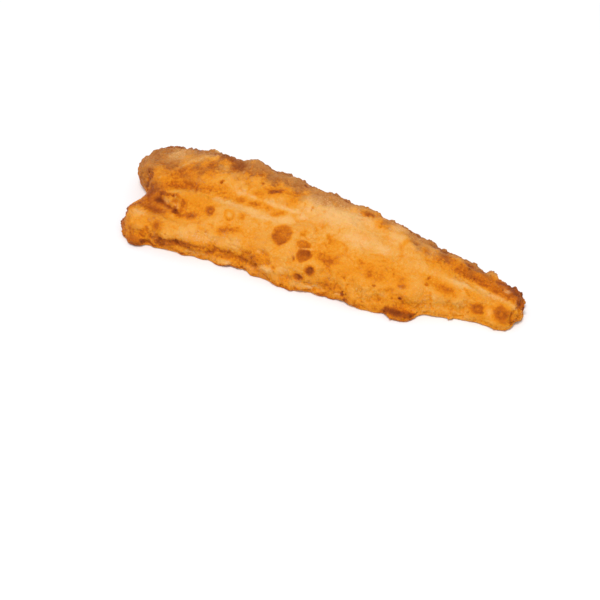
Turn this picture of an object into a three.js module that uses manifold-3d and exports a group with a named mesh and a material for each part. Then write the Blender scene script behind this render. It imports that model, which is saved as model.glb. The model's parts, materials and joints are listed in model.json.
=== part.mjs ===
// A fish fillet in batter, deep-fried and lying skin side down on a flat surface.
//
// Millimetres. +X runs from the head end to the tail, +Y from the thin belly edge to the
// thick loin, +Z up. The origin is on the resting surface, under the middle of the fillet.
//
// The fillet is one solid. Two grids, the upper side and the underside, share the rim and
// take their form from the sizes below. Batter relief pushes both along their normals, and
// the batter crags that stand out of the rim are fused on last.

import * as THREE from "three";
import { ImprovedNoise } from "three/addons/math/ImprovedNoise.js";
import { mergeVertices } from "three/addons/utils/BufferGeometryUtils.js";
import Module from "manifold-3d";

// ---- Plan outline: [X along the fillet, Y] ----
const BELLY_EDGE = [
  [-124, -35.5], [-96, -37.5], [-62, -34.5], [-40, -32.5], [-12, -33.5], [26, -31.5], [52, -29.5], [78, -21], [98, -14], [124, -13],
];
const LOIN_EDGE = [
  [-124, 36], [-88, 39.5], [-44, 38.5], [6, 33.5], [50, 26.5], [80, 19], [104, 17], [124, 16],
];

// Each end is a row of rounded lobes: tip X, the reach of its round corners, and the middle
// and half width of the lobe, as shares of the fillet's half width.
const HEAD_LOBES = [
  { tip: -111.5, reach: 20, middle: -0.5, half: 0.56 },
  { tip: -123, reach: 17, middle: 0.57, half: 0.56 },
];
const TAIL_LOBES = [{ tip: 123.5, reach: 12, middle: 0, half: 1.12 }];
const LOBE_BLEND = 3; // how softly neighbouring lobes run together

// ---- Heights above the resting surface ----
const LOIN_CREST = [
  [-124, 18], [-100, 24], [-70, 27.5], [-25, 28.5], [20, 28], [52, 24], [85, 17.5], [110, 14.5], [124, 12.5],
];
const BELLY_SHOULDER = [
  [-124, 11], [-95, 14.5], [-50, 16.5], [0, 17.5], [45, 15.5], [80, 12.5], [124, 10],
];
const CREST_AT = 0.42; // where the loin is thickest, as a share of the half width
const RIM_HEIGHT = { belly: 2.8, loin: 4.2 };

// Under the rim's upper edge a groove parts the upper batter from the skirt that set below it
const SKIRT_GROOVE = { height: 7, width: 1.8, depth: 1.7, reach: 6 };

// Radius of the rounded rim, seen from above, on the upper side and on the underside
const RIM_ROUND = {
  upper: { belly: 8, loin: 16, head: 10, tail: 7 },
  under: { belly: 4, loin: 6, head: 5, tail: 5 },
};

// Two exponents shape the rounding: 2 and 0.5 would make it a quarter circle
const EDGE_ROUNDNESS = { bend: 2.2, wall: 0.7 };

// ---- Grooves: depth is cut out of the upper side along a line of [X, Y] points ----
const GROOVES = [
  { name: "split", depth: 7, width: 3.6, line: [[-115, -2], [-105, -6.5], [-96, -12.5], [-85, -17.5], [-76, -21.5], [-62, -23.5]] },
  { name: "belly_side_of_split", depth: 2.4, width: 8, line: [[-111, -10], [-97, -19], [-81, -24]] },
  { name: "midline", depth: 2.6, width: 4, line: [[-95, -5], [-78, -1.5], [-61, -1.5], [-41, -4.5], [-21, -2.5], [5, -2.5]] },
  { name: "belly_ledge", depth: 1.6, width: 2.4, line: [[-91, -31], [-71, -30.5], [-39, -29], [-7, -29.5], [23, -28.5]] },
  { name: "tail_fold", depth: 1.8, width: 3.6, line: [[73, 3.5], [91, 1.5], [105, 0.5], [118, -0.5]] },
];
const GROOVE_FADE = 12; // a groove runs out over this length at each end

// ---- Folds and blisters that stand up: middle [X, Y], half sizes along and across, turn ----
const BUMPS = [
  { at: [-78, -15.5], size: [3.4, 7], turn: 0.5, height: 3.4 }, // the batter fold that bridges the split
  { at: [-95, -2], size: [14, 5], turn: -0.45, height: 2.4 }, // the loin's lip over the split
  { at: [-61, -11.5], size: [20, 6], turn: 0, height: 1.8 },
  { at: [-49, 27], size: [8, 8], turn: 0, height: 3.6 },
  { at: [-27, 9.5], size: [7, 10], turn: 0.3, height: 1.2 },
  { at: [25, -24], size: [12, 7], turn: -0.1, height: 1.6 },
  { at: [40, 15], size: [16, 8], turn: -0.1, height: 1.6 },
  { at: [53, -10.5], size: [13, 10], turn: 0.2, height: 1.6 },
  { at: [101, -6.5], size: [20, 4], turn: -0.1, height: 1.8 }, // the pale ridge down the tail
  { at: [86, 10], size: [20, 5], turn: -0.15, height: 1.6 },
];

// ---- Burst bubbles in the batter: a raised ring round a sunken middle ----
const BURSTS = [
  { at: [-12, -15.5], size: [6, 7.5] },
  { at: [5, -22.5], size: [4.5, 7] },
  { at: [12, -30.5], size: [3.2, 3.2] },
  { at: [-56, -16.5], size: [3.6, 4.4] },
  { at: [-45, -16.5], size: [4, 4.6] },
  { at: [-38, -15.5], size: [2.8, 4.4] },
  { at: [103, -14.5], size: [4, 3.6] },
  { at: [115, -13], size: [3.6, 4.6] },
];
const BURST_DEPTH = 0.9;
const BURST_LIP = 0.5;

// ---- Relief of the batter: wave is the size of one bump, height its depth ----
const SWELL = { wave: 34, height: 1.6 };
const BLISTERS = { wave: 17, height: 2 };
const PIMPLES = { wave: 9.5, height: 0.9 };
const RIM_CRAGS = { wave: 9, height: 2.6, reach: 8 };
const UNDER_SHARE = 0.8; // the underside was pressed flatter while it cooked
const FLAT_SPOT = { at: [-10, -2], size: [30, 14], sunk: 2 }; // where the fillet surely lies flat

// ---- Crags fused to the rim: X, side, half sizes along, across and up, height of the middle ----
const CRAGS = [
  { x: -93, side: "belly", size: [6, 5, 3.6], z: 3.4, out: -2 },
  { x: -58, side: "belly", size: [9, 6, 4.6], z: 8, out: -5.2 },
  { x: -12, side: "belly", size: [9, 6, 4.4], z: 7.4, out: -5.4 },
  { x: 36, side: "belly", size: [6, 6, 4.6], z: 5.4, out: -5 },
  { x: 63.5, side: "belly", size: [9.5, 6.5, 2.6], z: 2.8, out: -0.8 }, // the curled flap
  { x: -80, side: "loin", size: [3.2, 2.6, 2.2], z: 22.5, out: -6.6 },
  { x: 72, side: "loin", size: [4.4, 3.6, 3], z: 13.6, out: -3.2 },
  { x: 87, side: "loin", size: [4, 3.6, 3.2], z: 13, out: -3 },
  { x: 99, side: "loin", size: [4.6, 3.8, 3.2], z: 12, out: -3.2 },
];
const CRAG_DETAIL = 1;
const CRAG_ROUGH = 0.4;

// ---- Mesh: cells along and across; the underside has half as many each way ----
const CELLS = { along: 104, across: 38 };
const CROWDING = { along: 0.35, across: 0.68 }; // how much the grid crowds towards the rim

const UP = new THREE.Vector3(0, 0, 1);
const noise = new ImprovedNoise();

function mix(a, b, share) {
  return a + (b - a) * share;
}

// A smooth function of x through [x, value] stations.
function through(stations) {
  const slopes = stations.map((_, i) => {
    const [x0, y0] = stations[Math.max(i - 1, 0)];
    const [x1, y1] = stations[Math.min(i + 1, stations.length - 1)];
    return (y1 - y0) / (x1 - x0);
  });
  return (x) => {
    const last = stations.length - 1;
    if (x <= stations[0][0]) return stations[0][1];
    if (x >= stations[last][0]) return stations[last][1];
    const i = stations.findIndex(([sx]) => sx > x) - 1;
    const [x0, y0] = stations[i];
    const [x1, y1] = stations[i + 1];
    const span = x1 - x0;
    const t = (x - x0) / span;
    const rise = t * t * (3 - 2 * t);
    const startPull = t * (1 - t) * (1 - t) * slopes[i] * span;
    const endPull = t * t * (t - 1) * slopes[i + 1] * span;
    return y0 + (y1 - y0) * rise + startPull + endPull;
  };
}

const bellyEdge = through(BELLY_EDGE);
const loinEdge = through(LOIN_EDGE);
const loinCrest = through(LOIN_CREST);
const bellyShoulder = through(BELLY_SHOULDER);

// X of an end of the fillet at v, the place across it from -1 (belly) to 1 (loin). A lobe is
// round out to its half width and falls away past it. outward is -1 at the head, 1 at the tail.
function endAt(lobes, outward, v) {
  const reaches = lobes.map(({ tip, reach, middle, half }) => {
    const s = Math.abs(v - middle) / half;
    return outward * tip - reach * (s < 1 ? 1 - Math.sqrt(1 - s * s) : s);
  });
  const furthest = Math.max(...reaches);
  const sum = reaches.reduce((total, r) => total + Math.exp((r - furthest) / LOBE_BLEND), 0);
  return outward * (furthest + LOBE_BLEND * Math.log(sum));
}

// The rise of a rounded edge, from 0 at the rim to 1 at radius and beyond, a little less full
// than a quarter circle.
function edgeRise(distance, radius) {
  const inside = 1 - Math.min(Math.max(distance, 0) / radius, 1);
  return (1 - inside ** EDGE_ROUNDNESS.bend) ** EDGE_ROUNDNESS.wall;
}

// Distances from a point of the plan to the four sides of the fillet.
function rimDistances(x, y, v) {
  return {
    belly: y - bellyEdge(x),
    loin: loinEdge(x) - y,
    head: x - endAt(HEAD_LOBES, -1, v),
    tail: endAt(TAIL_LOBES, 1, v) - x,
  };
}

function roundedBy(distances, rounds) {
  return Object.keys(rounds).reduce((product, side) => product * edgeRise(distances[side], rounds[side]), 1);
}

// Distance from [x, y] to a line of points, and how far along the line the nearest place is.
function fromLine(x, y, line) {
  let best = { away: Infinity, along: 0 };
  let walked = 0;
  for (let i = 0; i < line.length - 1; i++) {
    const [ax, ay] = line[i];
    const [bx, by] = line[i + 1];
    const span = Math.hypot(bx - ax, by - ay);
    const share = Math.min(Math.max(((x - ax) * (bx - ax) + (y - ay) * (by - ay)) / span ** 2, 0), 1);
    const away = Math.hypot(x - mix(ax, bx, share), y - mix(ay, by, share));
    if (away < best.away) best = { away, along: walked + share * span };
    walked += span;
  }
  return { ...best, length: walked };
}

// How far the named grooves cut into the upper side at [x, y].
function grooveDepth(x, y) {
  return GROOVES.reduce((total, { depth, width, line }) => {
    const { away, along, length } = fromLine(x, y, line);
    const fade = Math.min(1, along / GROOVE_FADE + 0.35, (length - along) / GROOVE_FADE + 0.1);
    return total + depth * fade * Math.exp(-((away / width) ** 2));
  }, 0);
}

// Distance from a feature's middle, counted in its half sizes.
function inSizes(x, y, { at, size, turn = 0 }) {
  const dx = x - at[0];
  const dy = y - at[1];
  const along = dx * Math.cos(turn) + dy * Math.sin(turn);
  const across = dy * Math.cos(turn) - dx * Math.sin(turn);
  return Math.hypot(along / size[0], across / size[1]);
}

function bumpHeight(x, y) {
  return BUMPS.reduce((total, bump) => total + bump.height * Math.exp(-(inSizes(x, y, bump) ** 2)), 0);
}

function burstHeight(x, y) {
  return BURSTS.reduce((total, burst) => {
    const r = inSizes(x, y, burst);
    const sunk = -BURST_DEPTH * Math.exp(-((r / 0.75) ** 4));
    const lip = BURST_LIP * Math.exp(-(((r - 1.15) / 0.28) ** 2));
    return total + sunk + lip;
  }, 0);
}

// A point of the bare form. side is 1 on the upper side and -1 on the underside.
function formPoint(u, v, side) {
  const x = mix(endAt(HEAD_LOBES, -1, v), endAt(TAIL_LOBES, 1, v), u);
  const y = mix(bellyEdge(x), loinEdge(x), (v + 1) / 2);
  const rim = mix(RIM_HEIGHT.belly, RIM_HEIGHT.loin, (v + 1) / 2);
  const distances = rimDistances(x, y, v);
  if (side < 0) return new THREE.Vector3(x, y, rim * (1 - roundedBy(distances, RIM_ROUND.under)));
  const climb = THREE.MathUtils.smoothstep(v, -1.05, CREST_AT);
  const top = mix(bellyShoulder(x), loinCrest(x), climb) - grooveDepth(x, y) + bumpHeight(x, y) + burstHeight(x, y);
  return new THREE.Vector3(x, y, rim + (top - rim) * roundedBy(distances, RIM_ROUND.upper));
}

// Rounded bumps with creases between them, from 0 in a crease to about 1.
function billow(p, wave, shift) {
  return Math.min(1, 1.8 * Math.abs(noise.noise(p.x / wave + shift, p.y / wave - shift, p.z / wave + shift / 2)));
}

// How far the batter stands out of the bare form at a point. gaps are its distances from the
// two nearest sides of the plan, so that the rim's crags shrink into the corners.
function relief(p, side, [rimGap, nextGap]) {
  const swell = SWELL.height * noise.noise(p.x / SWELL.wave + 3.1, p.y / SWELL.wave, p.z / SWELL.wave);
  const blisters = BLISTERS.height * (billow(p, BLISTERS.wave, 5.7) - 0.45);
  const pimples = PIMPLES.height * (billow(p, PIMPLES.wave, 11.3) - 0.45);
  const nearRim = Math.exp(-((rimGap / RIM_CRAGS.reach) ** 2));
  const offCorner = THREE.MathUtils.clamp(nextGap / RIM_CRAGS.reach, 0, 1);
  const crags = RIM_CRAGS.height * nearRim * offCorner * (billow(p, RIM_CRAGS.wave, 23.9) - 0.4);
  const inGroove = Math.exp(-(((p.z - SKIRT_GROOVE.height) / SKIRT_GROOVE.width) ** 2) - (rimGap / SKIRT_GROOVE.reach) ** 2);
  const groove = SKIRT_GROOVE.depth * inGroove * (0.4 + billow(p, SWELL.wave, 31.7));
  return (swell + blisters + pimples) * (side < 0 ? UNDER_SHARE : 1) + crags - groove;
}

// Grid places from -1 to 1, closer together towards both ends.
function crowded(index, cells, crowding) {
  const even = (2 * index) / cells - 1;
  return mix(even, Math.sin((even * Math.PI) / 2), crowding);
}

// The vertices of both grids: points of the bare form, with what the relief needs to know.
// indexOf gives a vertex's number. Both grids share those on the rim.
function gridVertices() {
  const vertices = [];
  const numbers = new Map();
  const onRim = (i, j) => i === 0 || j === 0 || i === CELLS.along || j === CELLS.across;
  const keyOf = (i, j, side) => `${i},${j},${onRim(i, j) ? 1 : side}`;
  for (const side of [1, -1]) {
    for (let i = 0; i <= CELLS.along; i++) {
      for (let j = 0; j <= CELLS.across; j++) {
        if (numbers.has(keyOf(i, j, side))) continue;
        const u = (crowded(i, CELLS.along, CROWDING.along) + 1) / 2;
        const v = crowded(j, CELLS.across, CROWDING.across);
        const p = formPoint(u, v, side);
        const gaps = Object.values(rimDistances(p.x, p.y, v)).sort((a, b) => a - b).slice(0, 2);
        numbers.set(keyOf(i, j, side), vertices.length);
        vertices.push({ p, gaps, side });
      }
    }
  }
  return { vertices, indexOf: (i, j, side) => numbers.get(keyOf(i, j, side)) };
}

// Two triangles over a four-sided cell, split along its shorter diagonal.
function splitQuad([a, b, c, d], points) {
  return points[a].distanceTo(points[c]) < points[b].distanceTo(points[d])
    ? [[a, b, c], [a, c, d]]
    : [[a, b, d], [b, c, d]];
}

// A cell of the underside is two cells of the upper side long and wide. Where it meets the
// rim, it is a fan round its middle that takes in the rim's extra vertices.
const UNDER_RING = [[0, 0], [0, 1], [0, 2], [1, 2], [2, 2], [2, 1], [2, 0], [1, 0]];

function underCell(i, j, indexOf, points) {
  const rimAcross = (place) => place === 0 || place === CELLS.across;
  const rimAlong = (place) => place === 0 || place === CELLS.along;
  const ring = UNDER_RING.filter(
    ([di, dj]) => (di !== 1 && dj !== 1) || (di === 1 && rimAcross(j + dj)) || (dj === 1 && rimAlong(i + di)),
  ).map(([di, dj]) => indexOf(i + di, j + dj, -1));
  if (ring.length === 4) return splitQuad(ring, points);
  const middle = indexOf(i + 1, j + 1, -1);
  return ring.map((from, k) => [middle, from, ring[(k + 1) % ring.length]]);
}

function closedGeometry(points, indexOf) {
  const faces = [];
  for (let i = 0; i < CELLS.along; i++) {
    for (let j = 0; j < CELLS.across; j++) {
      const corners = [[i, j], [i + 1, j], [i + 1, j + 1], [i, j + 1]].map(([a, b]) => indexOf(a, b, 1));
      faces.push(...splitQuad(corners, points));
      if (i % 2 === 0 && j % 2 === 0) faces.push(...underCell(i, j, indexOf, points));
    }
  }
  const geometry = new THREE.BufferGeometry().setFromPoints(points).setIndex(faces.flat());
  geometry.computeVertexNormals();
  return geometry;
}

// The body with its relief, and with the underside pressed flat on the resting surface.
function battered() {
  const { vertices, indexOf } = gridVertices();
  const normals = closedGeometry(vertices.map(({ p }) => p), indexOf).getAttribute("normal");
  const points = vertices.map(({ p, gaps, side }, i) => {
    const normal = new THREE.Vector3().fromBufferAttribute(normals, i);
    const settled = p.clone().addScaledVector(normal, relief(p, side, gaps));
    if (side < 0) settled.z -= FLAT_SPOT.sunk * Math.exp(-(inSizes(p.x, p.y, FLAT_SPOT) ** 4));
    settled.z = Math.max(settled.z, 0);
    return settled;
  });
  return closedGeometry(points, indexOf);
}

// One crag: a rough, flattened ball of batter set into the rim, turned to lie along it.
function crag({ x, side, size, z, out }, seed) {
  const outward = side === "belly" ? -1 : 1;
  const edge = side === "belly" ? bellyEdge : loinEdge;
  const slope = Math.atan2(edge(x + size[0]) - edge(x - size[0]), 2 * size[0]);
  const middle = new THREE.Vector3(x, edge(x) + outward * out, z);
  const halfSizes = new THREE.Vector3(...size);
  const geometry = mergeVertices(
    new THREE.IcosahedronGeometry(1, CRAG_DETAIL).deleteAttribute("normal").deleteAttribute("uv"),
  );
  const position = geometry.getAttribute("position");
  for (let i = 0; i < position.count; i++) {
    const p = new THREE.Vector3().fromBufferAttribute(position, i);
    p.multiplyScalar(1 + CRAG_ROUGH * noise.noise(2.2 * p.x + seed * 7.3, 2.2 * p.y, 2.2 * p.z));
    p.multiply(halfSizes).applyAxisAngle(UP, slope).add(middle);
    position.setXYZ(i, p.x, p.y, Math.max(p.z, 0));
  }
  return geometry;
}

const wasm = await Module();
wasm.setup();

function solidOf(geometry) {
  const merged = mergeVertices(
    new THREE.BufferGeometry().setAttribute("position", geometry.getAttribute("position")).setIndex(geometry.index),
    1e-3,
  );
  return new wasm.Manifold(
    new wasm.Mesh({
      numProp: 3,
      vertProperties: merged.getAttribute("position").array,
      triVerts: new Uint32Array(merged.index.array),
    }),
  );
}

function geometryOf(solid) {
  const { numProp, vertProperties, triVerts } = solid.getMesh();
  const interleaved = new THREE.InterleavedBuffer(vertProperties, numProp);
  const geometry = new THREE.BufferGeometry()
    .setAttribute("position", new THREE.InterleavedBufferAttribute(interleaved, 3, 0))
    .setIndex(new THREE.BufferAttribute(triVerts, 1));
  geometry.computeVertexNormals();
  return geometry;
}

// Moves a geometry so that the middle of its underside is at the origin.
function stoodOnOrigin(geometry) {
  geometry.computeBoundingBox();
  const { min, max } = geometry.boundingBox;
  return geometry.translate(-(min.x + max.x) / 2, -(min.y + max.y) / 2, -min.z);
}

const body = CRAGS.reduce((solid, spec, i) => solid.add(solidOf(crag(spec, i))), solidOf(battered()));

const batter = new THREE.MeshStandardMaterial({ color: 0xd98f3a, roughness: 0.55, metalness: 0 });
const fillet = new THREE.Mesh(stoodOnOrigin(geometryOf(body)), batter);
fillet.name = "fillet";

export default new THREE.Group().add(fillet);
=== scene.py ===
"""Battered and deep-fried fish fillet: the crust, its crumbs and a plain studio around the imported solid."""

import json
from math import cos, radians, sin
from random import Random

import bpy
import numpy as np
from bpy.props import FloatProperty, FloatVectorProperty, IntProperty, PointerProperty
from mathutils import Matrix, Vector, noise

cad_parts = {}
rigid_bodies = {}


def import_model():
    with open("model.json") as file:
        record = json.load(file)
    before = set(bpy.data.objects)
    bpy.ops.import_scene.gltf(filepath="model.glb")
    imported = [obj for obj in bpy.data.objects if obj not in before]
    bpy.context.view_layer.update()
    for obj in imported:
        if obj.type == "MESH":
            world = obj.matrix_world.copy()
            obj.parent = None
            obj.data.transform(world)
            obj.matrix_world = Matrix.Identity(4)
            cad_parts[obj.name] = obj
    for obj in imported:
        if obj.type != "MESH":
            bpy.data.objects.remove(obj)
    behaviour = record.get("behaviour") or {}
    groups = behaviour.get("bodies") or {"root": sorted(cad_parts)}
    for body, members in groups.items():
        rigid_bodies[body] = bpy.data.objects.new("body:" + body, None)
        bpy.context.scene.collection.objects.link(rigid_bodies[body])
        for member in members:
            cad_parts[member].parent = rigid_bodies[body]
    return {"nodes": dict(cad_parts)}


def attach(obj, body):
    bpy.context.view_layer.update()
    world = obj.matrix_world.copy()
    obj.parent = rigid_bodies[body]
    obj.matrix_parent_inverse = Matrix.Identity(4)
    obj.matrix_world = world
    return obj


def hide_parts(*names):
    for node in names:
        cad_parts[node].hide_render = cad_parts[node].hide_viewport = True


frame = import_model()

bl_info = {
    "name": "Fried Fish Fillet",
    "version": (1, 0, 0),
    "blender": (4, 5, 0),
    "location": "View3D > Sidebar > Fillet",
    "description": "Builds a battered, deep-fried fish fillet with its crust, crumbs and studio",
    "category": "Object",
}

MM = 0.001
SOLID = "fillet"
ALONG = 117.0  # the long way of a burst blister, in degrees from +X
HEAD_FADES = (-112, -60)  # x in mm where the head end's looks begin to fade, and where they are gone
TAIL_GROWS = (86, 118)  # x in mm where the tail's looks begin, and where they are full
NOISE_SEED = 4
CRUMB_SEED = 14
MOST_TRIANGLES = 200_000
MELT_STEPS = 160  # how many times the trenches are evened out
FOOT = 3.0  # mm above the floor below which the batter is drawn down
UNDERSIDE_KEPT = 0.25  # share of the underside's faces
CRUMBY_EDGE = [(74, 5, 20), (97, 7, 16), (118, 8, 10)]  # where most crumbs sit, in mm
AIM = (10, -38.5, 0)  # what the camera looks at, in mm
SOFTBOX_AT = (0.1, -1.0, 2.8)
SOFTBOX_WIDTH = 1.1

# ---- Where the batter is shaped
# Every place is x, y, z in mm. A stroke is a path, its half width, and how far it stands up or sinks.
STROKES = {
    "split": ([(-100, -13, 12), (-95, -13, 13), (-90, -14, 14), (-84, -16, 15), (-78, -18, 15),
               (-73, -21, 16)], 1.1, -0.9),
    "split_mouth": ([(-95, -13, 13), (-91, -13, 14), (-87, -13, 15)], 2.2, -1.3),
    "under_the_lip": ([(-79, -18, 15), (-75, -21, 16)], 1.3, -1.2),
    "split_lip": ([(-90, -11, 16), (-84, -14, 16.5), (-80, -16, 17)], 1.3, 1.1),
    "flap_loop": ([(-88, -10, 19), (-84, -11, 21), (-79, -13, 23), (-76, -15, 20), (-75, -18, 18)], 1.5, 0.9),
    "behind_the_flap": ([(-79, -10, 22), (-75, -12, 22), (-73, -15, 20), (-72, -19, 18)], 1.2, -0.8),
    "loin_lobe_ridge": ([(-94, 3, 23), (-91, 8, 24), (-88, 12, 25), (-83, 17, 27), (-78, 23, 26)], 1.6, 0.25),
    "loin_lobe_dip": ([(-90, 3, 22), (-87, 6, 23), (-84, 9, 25), (-79, 12, 26)], 3.0, -0.3),
    "loin_lobe_crease": ([(-107, 2, 20), (-103, 0, 20), (-106, 0, 14), (-108, 1, 9)], 1.4, -0.6),
    "arc_over_the_split": ([(-93, -8, 19), (-88, -5, 20), (-82, -2, 20), (-72, -1, 22)], 2.8, -0.4),
    "midline_shelf": ([(-62, -7, 23), (-52, -7, 24), (-42, -8, 23), (-32, -8, 23), (-22, -9, 23)], 2.4, 0.6),
    "first_wrinkle": ([(-54, 12, 27), (-51, 7, 27), (-49, 2, 25)], 0.8, -0.8),
    "second_wrinkle": ([(-49, 12, 27), (-46, 8, 27), (-44, 3, 25)], 0.8, -0.7),
    "crescent": ([(-48, -28, 17), (-46, -25, 19), (-42, -23, 19), (-37, -24, 19)], 1.5, -0.6),
    "short_crease": ([(-57, -31, 12), (-54, -29, 14)], 0.9, -0.7),
    "crack": ([(-9, 8, 28), (-9, 4, 27), (-10, 2, 26), (-9, -1, 24)], 0.55, -0.8),
    "short_crack": ([(-4, 5, 27), (-5, 1, 26), (-4, -2, 25)], 0.5, -0.6),
    "belly_ledge": ([(-84, -37, 8), (-74, -37, 8), (-69, -35, 8), (-62, -36, 10), (-58, -35, 9),
                     (-51, -33, 9), (-45, -32, 9), (-38, -31, 9), (-31, -31, 6)], 1.4, -1.1),
    "swirl": ([(-31, -30, 8), (-28, -30, 12), (-21, -30, 16), (-15, -29, 15), (-13, -31, 12), (-17, -32, 9),
               (-25, -31, 6), (-31, -30, 8)], 1.1, -0.9),
    "low_ledge": ([(0, -31, 13), (7, -32, 8), (13, -31, 5), (21, -30, 4), (30, -30, 5)], 1.0, -0.6),
    "low_ledge_lip": ([(2, -32, 14), (9, -32, 10), (15, -31, 7), (22, -30, 6), (29, -30, 7)], 1.2, 0.35),
    "curled_line": ([(29, -27, 15), (32, -28, 14), (34, -30, 12), (34, -31, 9)], 0.9, -0.8),
    "hem_curve": ([(52, -25, 12), (56, -24, 13), (58, -21, 15), (61, -19, 15), (64, -22, 14)], 1.3, -0.4),
    "thin_line": ([(21, -12, 22), (25, -14, 22), (28, -17, 21), (30, -20, 20)], 0.6, -0.5),
    "tail_ridge": ([(83, -6, 17), (90, -4, 15), (98, -1, 13), (103, -1, 12), (108, -2, 12),
                    (114, -3.5, 12), (119, -5, 12)], 2.4, 0.6),
    "tail_dip": ([(88, -10, 13), (97, -7, 11), (106, -6, 10)], 3.0, -0.5),
    "nub_line": ([(-88, -34, 11), (-84, -37, 9), (-81, -37, 5)], 0.9, -0.8),
    "nub_crease": ([(-100, -36, 5), (-95, -37, 6), (-91, -36, 6.5), (-88, -36, 6), (-87, -37, 3)], 1.0, -0.9),
    "nub_ends": ([(-86, -38, 4), (-85, -38, 1)], 1.8, -1.5),
    "nub": ([(-97, -39, 3), (-93, -40, 4), (-89, -39, 3)], 2.2, 0.9),
}

# A melt is a path, its reach and how much of the solid's trench is evened out there.
MELTS = {
    "split": ([(-103, -10, 12), (-97, -12, 12), (-90, -14, 13), (-82, -17, 14), (-74, -20, 16),
               (-66, -21, 17)], 8.0, 1.0),
    "midline": ([(-68, 0, 23), (-54, -1, 23), (-40, -3, 23), (-26, -3, 23), (-6, -2, 24)], 6.5, 0.85),
}

# Where the loin side's painted shade and painted grazing sheen begin: x, y in mm.
LOIN_LINE = ((-124, -2), (-104, -2), (-96, 1), (-90, 8), (-83, 12), (-60, 14), (-51, 14), (-43, 13),
             (-34, 11), (-18, 10), (-9, 8), (0, 6), (9, 5), (25, 11), (40, 9), (55, 5), (64, 4), (82, 6),
             (104, 7), (124, 7))

# A spot is its middle, half sizes along and across, its turn in degrees, and how far it stands up or sinks.
SPOTS = {
    "loin_end": ((-114, 10, 13), 9.0, 10.0, 100, 1.9),
    "lobe_corner": ((-105, -18, 14), 6.0, 5.0, 0, -1.6),
    "flap": ((-81, -14, 19), 2.6, 2.4, 0, 0.5),
    "valley_1": ((-55, -1, 22), 5.6, 2.2, -10, -0.4),
    "valley_2": ((-44.5, -2, 23), 3.8, 2.0, -6, -0.4),
    "valley_3": ((-36, -2, 23), 5.8, 2.3, 8, -0.5),
    "valley_4": ((-28, -2, 24), 3.4, 1.8, 0, -0.3),
    "valley_5": ((-22, -4, 23), 4.4, 2.3, 15, -0.5),
    "scallop_1": ((-57, 6, 26), 5.5, 4.5, 90, 0.7),
    "scallop_2": ((-51, 6, 27), 3.2, 5.0, 0, 0.8),
    "scallop_3": ((-46, 5, 27), 3.2, 4.0, 0, 0.7),
    "scallop_4": ((-38, 5, 27), 5.0, 4.0, 0, 0.7),
    "scallop_5": ((-28, 5, 28), 5.0, 3.5, 0, 0.5),
    "gold_bulge": ((-17, 6, 28), 7.5, 5.5, 10, 0.9),
    "smooth_swell": ((-66, -12, 23), 9.0, 7.0, 20, 0.6),
    "loin_swell": ((35, -1, 25), 10.0, 7.0, 0, 0.7),
    "loin_swell_2": ((46, 5, 25), 6.0, 4.5, 30, 0.7),
    "loin_swell_3": ((56, 4, 24), 5.0, 4.0, 0, 0.6),
    "tail_swell": ((64, -4, 21), 6.5, 5.0, 0, 0.7),
    "tail_swell_2": ((76, -5, 18), 6.0, 4.0, -20, 0.7),
    "tail_swell_3": ((83, -13, 13), 5.0, 3.5, 0, 0.5),
    "belly_swell": ((-70, -27, 18), 10.0, 5.0, 0, 0.5),
    "belly_swell_2": ((20, -26, 17), 8.0, 4.0, 0, 0.4),
    "patch_dip": ((-28, 8, 29), 4.5, 2.4, 5, -0.5),
    "amber_dip": ((16, -24, 19), 5.0, 2.6, -10, -0.2),
    "tail_patch_dip": ((84, -10, 15), 5.5, 2.2, -10, -0.5),
}

# A blister has a rim round a sunk middle: middle, half sizes, turn, rim height, depth.
BLISTERS = {
    "ring_1": ((-57, -16, 21), 3.6, 3.0, ALONG, 0.2, 0.22),
    "ring_2": ((-45, -16, 22), 3.8, 3.4, ALONG, 0.25, 0.25),
    "ring_3": ((-38, -14, 23), 3.4, 2.3, ALONG, 0.15, 0.2),
    "ring_4": ((-92, -29, 15), 2.4, 2.0, ALONG, 0.25, 0.2),
    "ring_5": ((-82, -32, 13), 2.8, 2.2, ALONG, 0.25, 0.2),
    "ring_6": ((25, 5, 28), 6.5, 5.0, 20, 0.25, 0.2),
    "burst_a": ((-12, -16, 21), 7.4, 5.6, ALONG, 0.12, 0.3),
    "burst_b": ((5, -24, 18), 4.6, 4.2, ALONG, 0.15, 0.3),
    "burst_b_cap": ((2, -18, 21), 4.2, 2.6, 10, 0.12, 0.25),
    "burst_c": ((11, -29, 14), 3.3, 2.9, 0, 0.15, 0.3),
    "burst_d": ((5, -32, 9), 4.0, 2.8, -10, 0.1, 0.3),
    "burst_e": ((0, -27, 17), 1.8, 0.9, ALONG, 0.1, 0.5),
    "tail_spot": ((101, -11, 8), 3.9, 3.3, 0, 0.3, 0.4),
    "tail_ring": ((114, -10, 9), 5.0, 4.0, ALONG, 0.3, 0.45),
    "tail_ring_cap": ((116, -7, 10), 3.0, 2.4, 0, 0.3, 0.4),
    "pinhole_1": ((61, -24, 10), 0.9, 0.9, 0, 0.1, 0.5),
    "pinhole_2": ((47, -26, 16), 0.9, 0.9, 0, 0.1, 0.4),
    "pinhole_3": ((72, -9, 17), 1.5, 1.0, 30, 0.2, 0.4),
    "pinhole_4": ((72, -14, 16), 1.3, 1.0, 0, 0.2, 0.4),
    "pinhole_5": ((-61, 4, 26), 1.2, 1.2, 0, 0.1, 0.6),
    "pinhole_6": ((-38, 11, 28), 1.3, 1.3, 0, 0.1, 0.6),
    "pinhole_7": ((3, 4, 28), 1.7, 1.3, 0, 0.1, 0.5),
}

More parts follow.
